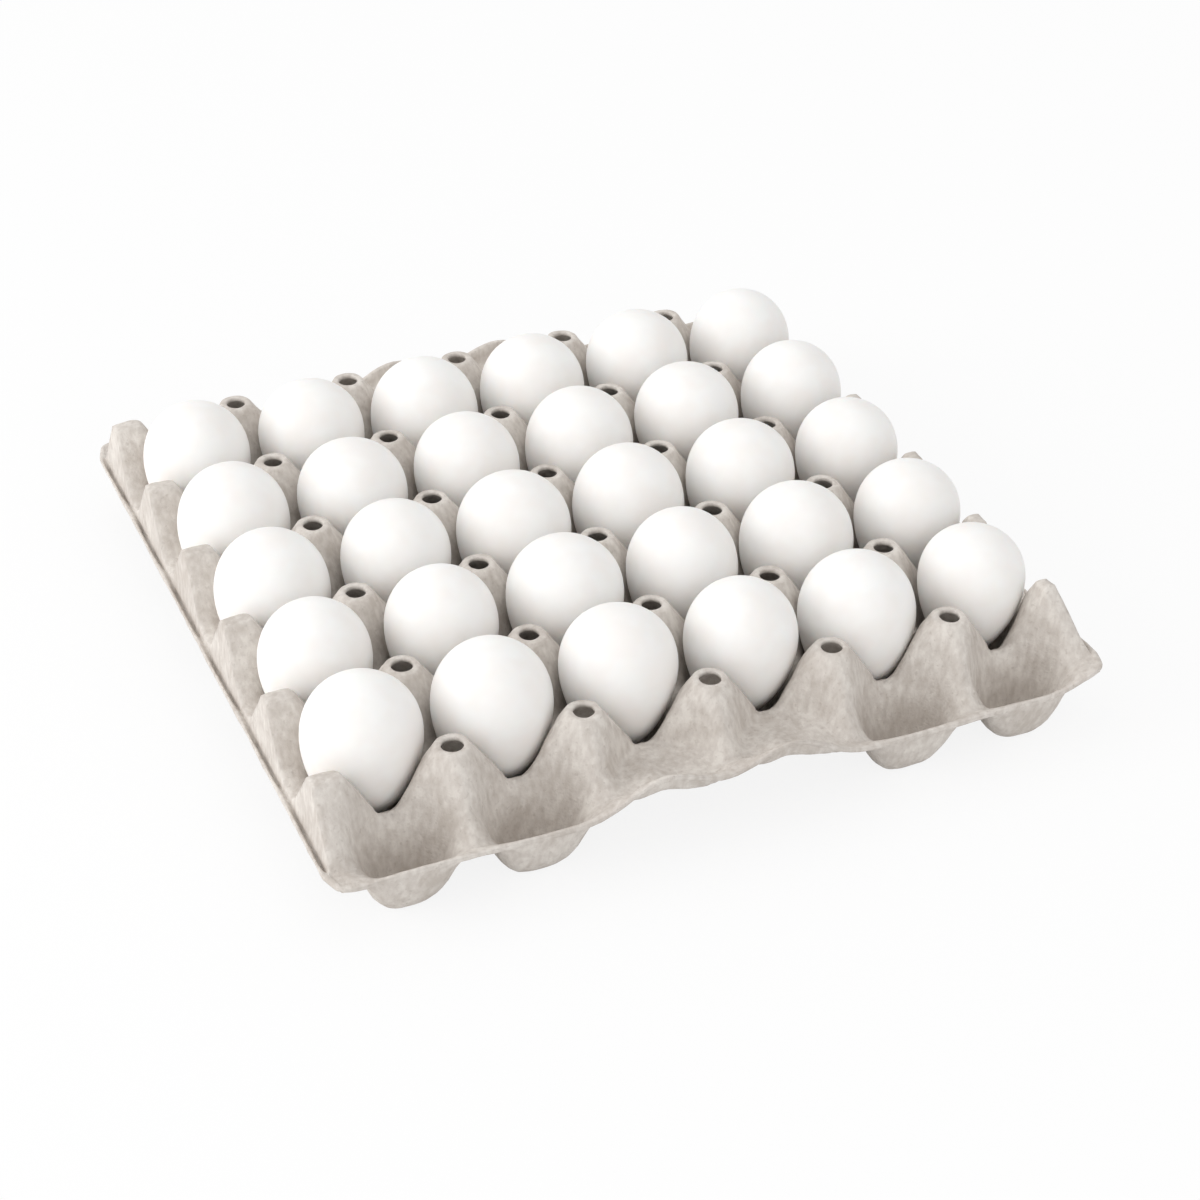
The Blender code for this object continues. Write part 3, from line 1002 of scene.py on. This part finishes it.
def egg_tree():
    tree, given, result = new_geometry_tree("hen's egg", (
        ("Length", "NodeSocketFloat", 0.057),
        ("Width", "NodeSocketFloat", 0.042),
        ("Pointedness", "NodeSocketFloat", 0.24),
        ("Widest", "NodeSocketFloat", 1.03),
        ("Unevenness", "NodeSocketFloat", 0.0002),
        ("Lean", "NodeSocketRotation", None),
        ("Middle", "NodeSocketVector", (0.0, 0.0, 0.0)),
        ("Shell", "NodeSocketMaterial", None),
    ))
    ball = add_node(tree, "GeometryNodeMeshUVSphere")
    ball.inputs["Segments"].default_value = BALL_SEGMENTS
    ball.inputs["Rings"].default_value = BALL_RINGS
    ball.inputs["Radius"].default_value = 1.0
    position = add_node(tree, "GeometryNodeInputPosition")
    parts = add_node(tree, "ShaderNodeSeparateXYZ")
    taper = math_node(tree, "MULTIPLY", parts.outputs["Z"], given.outputs["Pointedness"])
    girth = math_node(tree, "DIVIDE", math_node(tree, "ADD", taper, 1.0), given.outputs["Widest"])
    half_width = math_node(tree, "MULTIPLY", given.outputs["Width"], 0.5)
    half_length = math_node(tree, "MULTIPLY", given.outputs["Length"], 0.5)
    noise = add_node(tree, "ShaderNodeTexNoise", noise_dimensions="4D")
    noise.inputs["Scale"].default_value = SHELL_SWELLS
    noise.inputs["Detail"].default_value = 1.0
    seed = math_node(tree, "MULTIPLY", given.outputs["Width"], SEED_RATE)
    centred = math_node(tree, "SUBTRACT", noise.outputs[0], 0.5)
    swell = math_node(tree, "MULTIPLY", centred, given.outputs["Unevenness"])
    reach = math_node(tree, "ADD", math_node(tree, "MULTIPLY", girth, half_width), swell)
    shape = add_node(tree, "ShaderNodeCombineXYZ")
    scaled = add_node(tree, "ShaderNodeVectorMath", operation="MULTIPLY")
    move = add_node(tree, "GeometryNodeSetPosition")
    place = add_node(tree, "GeometryNodeTransform")
    smooth = add_node(tree, "GeometryNodeSetShadeSmooth")
    realize = add_node(tree, "GeometryNodeRealizeInstances")
    paint = add_node(tree, "GeometryNodeSetMaterial")
    join(tree, (
        (position.outputs[0], parts.inputs[0]),
        (position.outputs[0], noise.inputs["Vector"]),
        (seed, noise.inputs["W"]),
        (reach, shape.inputs["X"]),
        (reach, shape.inputs["Y"]),
        (half_length, shape.inputs["Z"]),
        (position.outputs[0], scaled.inputs[0]),
        (shape.outputs[0], scaled.inputs[1]),
        (ball.outputs["Mesh"], move.inputs["Geometry"]),
        (scaled.outputs[0], move.inputs["Position"]),
        (move.outputs[0], place.inputs["Geometry"]),
        (given.outputs["Lean"], place.inputs["Rotation"]),
        (given.outputs["Middle"], place.inputs["Translation"]),
        (place.outputs[0], smooth.inputs[0]),
        (smooth.outputs[0], realize.inputs[0]),
        (realize.outputs[0], paint.inputs["Geometry"]),
        (given.outputs["Shell"], paint.inputs["Material"]),
        (paint.outputs[0], result.inputs[0]),
    ))
    return tree


egg_rule = egg_tree()
print("egg inputs", [item.name for item in tree_inputs(egg_rule)])

# %% [markdown]
# ## Eggshell
# White shell isn't quite white: it is faintly warm, a little cloudy, and satin rather than glossy, with
# pores too small to see one by one. A plain white would look like plastic, so two near whites are
# clouded together and a very low bump breaks the shine. A touch of subsurface light softens the shaded
# side, as thin shell does.

# %% Eggshell material
SHELL_PALE = srgb(247, 246, 244)
SHELL_WARM = srgb(244, 241, 238)
SHELL_CLOUD_SIZE = 0.014
PORE_SIZE = 0.0009


def shell_material():
    material, tree, shader, place = new_material("white_eggshell", 0.5)
    shader.inputs["Specular IOR Level"].default_value = 0.35
    shader.inputs["Subsurface Weight"].default_value = 0.2
    shader.inputs["Subsurface Radius"].default_value = (1.0, 0.75, 0.6)
    shader.inputs["Subsurface Scale"].default_value = 0.003
    clouds = noise_at(tree, place, SHELL_CLOUD_SIZE, detail=2.0)
    colour = ramp(tree, clouds, ((0.38, SHELL_WARM), (0.62, SHELL_PALE)))
    pores = bump(tree, noise_at(tree, place, PORE_SIZE, detail=2.0), strength=0.06, distance=0.0001)
    join(tree, ((colour, shader.inputs["Base Color"]), (pores, shader.inputs["Normal"])))
    return material


shell = shell_material()
print("shell material", shell.name)

# %% [markdown]
# ## Thirty eggs
# Each egg takes its place and its length from its own part of the model, so it sits exactly where the
# model's egg does. Its lean and its pointedness turn with its number in the tray. Random numbers would do
# too, but a turn that never repeats is just as uneven and needs no seed.

# %% Thirty eggs
EGG_SLENDERNESS = 1.37
EGG_LEAN = math.radians(2.0)
EGG_TURN = 2.4
POINTEDNESS, POINTEDNESS_SPREAD, POINTEDNESS_TURNS = 0.24, 0.05, 1.7


def widest_share(pointedness):
    """Largest radius of the tapered rule, which the tree divides by to keep the width true."""
    angles = [math.radians(a) for a in range(45)]
    return max(math.cos(a) * (1.0 + pointedness * math.sin(a)) for a in angles)


def make_egg(tree, row, column):
    node = egg_node(row, column)
    low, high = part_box(node)
    turn = EGG_TURN * ((row - 1) * COLUMNS + column - 1)
    length = high.z - low.z
    pointedness = POINTEDNESS + POINTEDNESS_SPREAD * math.sin(turn * POINTEDNESS_TURNS)
    thing = bpy.data.objects.new("egg_maker", bpy.data.meshes.new("egg_maker"))
    bpy.context.scene.collection.objects.link(thing)
    modifier = thing.modifiers.new("egg", "NODES")
    modifier.node_group = tree
    set_inputs(modifier, {
        "Length": length,
        "Width": length / EGG_SLENDERNESS,
        "Pointedness": pointedness,
        "Widest": widest_share(pointedness),
        "Lean": (EGG_LEAN * math.sin(turn), EGG_LEAN * math.cos(turn), 0.0),
        "Middle": tuple((low + high) / 2),
        "Shell": shell,
    })
    return finish_piece(thing, f"eggshell_{row}_{column}", [node])


eggs = [make_egg(egg_rule, row, column) for row in range(1, ROWS + 1) for column in range(1, COLUMNS + 1)]
print(len(eggs), "eggs of", len(eggs[0].data.polygons), "faces")

# %% [markdown]
# ## The floor
# A pale floor takes the soft shadow. Most of what the camera sees of it is light of its own, so it comes
# out white without more light on the object. Under the tray it has none, so the post holes stay dark.
# Stronger lamps would whiten the floor too, but they would bleach the eggs first.

# %% Floor
FLOOR_HALF = 6.0
FLOOR_COLOUR = (0.88, 0.88, 0.88, 1.0)
FLOOR_GLOW = 0.86
SHADE_EDGE = (0.086, 0.106)


def outside_shade(tree, place):
    """0 on the floor under the tray and 1 outside it, from the floor's own coordinates."""
    parts = add_node(tree, "ShaderNodeSeparateXYZ")
    tree.links.new(place, parts.inputs[0])
    sides = [math_node(tree, "ABSOLUTE", parts.outputs[axis]) for axis in ("X", "Y")]
    edge = add_node(tree, "ShaderNodeMapRange", interpolation_type="SMOOTHSTEP")
    edge.inputs["From Min"].default_value, edge.inputs["From Max"].default_value = SHADE_EDGE
    tree.links.new(math_node(tree, "MAXIMUM", *sides), edge.inputs["Value"])
    return edge.outputs[0]


def floor_material():
    material, tree, shader, place = new_material("studio_floor", 0.9)
    shader.inputs["Base Color"].default_value = FLOOR_COLOUR
    shader.inputs["Specular IOR Level"].default_value = 0.0
    glow = add_node(tree, "ShaderNodeEmission")
    glow.inputs["Strength"].default_value = 1.0
    rays = add_node(tree, "ShaderNodeLightPath")
    seen = math_node(tree, "MAXIMUM", rays.outputs["Is Camera Ray"], rays.outputs["Is Glossy Ray"])
    seen = math_node(tree, "MAXIMUM", seen, rays.outputs["Is Transmission Ray"])
    seen = math_node(tree, "MULTIPLY", seen, outside_shade(tree, place))
    share = math_node(tree, "MULTIPLY", seen, FLOOR_GLOW)
    mix = add_node(tree, "ShaderNodeMixShader")
    join(tree, (
        (share, mix.inputs[0]),
        (shader.outputs[0], mix.inputs[1]),
        (glow.outputs[0], mix.inputs[2]),
        (mix.outputs[0], tree.nodes["Material Output"].inputs["Surface"]),
    ))
    return material


def add_floor():
    corners = [(x * FLOOR_HALF, y * FLOOR_HALF, 0.0) for x, y in ((-1, -1), (1, -1), (1, 1), (-1, 1))]
    mesh = bpy.data.meshes.new("studio_floor")
    mesh.from_pydata(corners, [], [(0, 1, 2, 3)])
    mesh.materials.append(floor_material())
    floor = bpy.data.objects.new("studio_floor", mesh)
    bpy.context.scene.collection.objects.link(floor)
    return floor


floor = add_floor()
print(floor.name, FLOOR_HALF * 2, "m wide")

# %% [markdown]
# ## Light
# A white room lights everything evenly, a little brighter on the left, where its window would be. A soft
# lamp to the left gives the posts and eggs their form, and a weaker one in front opens their shadows. One
# strong lamp would be simpler, but pale shells show every hard shadow.

# %% Light
WORLD_LIGHT = 0.80
WINDOW_SIDE = Vector((-0.75, 0.35, 0.56))
WINDOW_SHARE = 0.35
KEY_PLACE = Vector((-1.35, 0.20, 0.62))
KEY_POWER = 7.5
FILL_PLACE = Vector((0.30, -1.40, 0.50))
FILL_POWER = 2.3
LAMP_SIZE = 0.9
LAMP_AIM = Vector((0.0, 0.0, 0.03))


def light_world():
    world = bpy.data.worlds.new("white_room")
    bpy.context.scene.world = world
    world.use_nodes = True
    tree = world.node_tree
    light = tree.nodes["Background"]
    light.inputs["Color"].default_value = WHITE
    direction = add_node(tree, "ShaderNodeTexCoord").outputs["Generated"]
    toward = add_node(tree, "ShaderNodeVectorMath", operation="DOT_PRODUCT")
    toward.inputs[1].default_value = WINDOW_SIDE.normalized() * WINDOW_SHARE
    tree.links.new(direction, toward.inputs[0])
    brighter = math_node(tree, "ADD", toward.outputs["Value"], 1.0)
    tree.links.new(math_node(tree, "MULTIPLY", brighter, WORLD_LIGHT), light.inputs["Strength"])
    seen = add_node(tree, "ShaderNodeBackground")
    seen.inputs["Color"].default_value = WHITE
    rays = add_node(tree, "ShaderNodeLightPath")
    share = math_node(tree, "MAXIMUM", rays.outputs["Is Camera Ray"], rays.outputs["Is Transmission Ray"])
    mix = add_node(tree, "ShaderNodeMixShader")
    join(tree, (
        (share, mix.inputs[0]),
        (light.outputs[0], mix.inputs[1]),
        (seen.outputs[0], mix.inputs[2]),
        (mix.outputs[0], tree.nodes["World Output"].inputs["Surface"]),
    ))


def add_lamp(name, place, power):
    """A square white lamp aimed at the middle of the tray."""
    data = bpy.data.lights.new(name, "AREA")
    data.energy = power
    data.size = LAMP_SIZE
    lamp = bpy.data.objects.new(name, data)
    bpy.context.scene.collection.objects.link(lamp)
    turn = (LAMP_AIM - place).to_track_quat("-Z", "Y").to_matrix().to_4x4()
    lamp.matrix_world = Matrix.Translation(place) @ turn
    return lamp


light_world()
lamps = [add_lamp("key_lamp", KEY_PLACE, KEY_POWER), add_lamp("fill_lamp", FILL_PLACE, FILL_POWER)]
bpy.context.scene.view_settings.view_transform = "Standard"
print("lamps", [(lamp.name, round(lamp.data.energy, 2)) for lamp in lamps])

# %% Update the scene
bpy.context.view_layer.update()
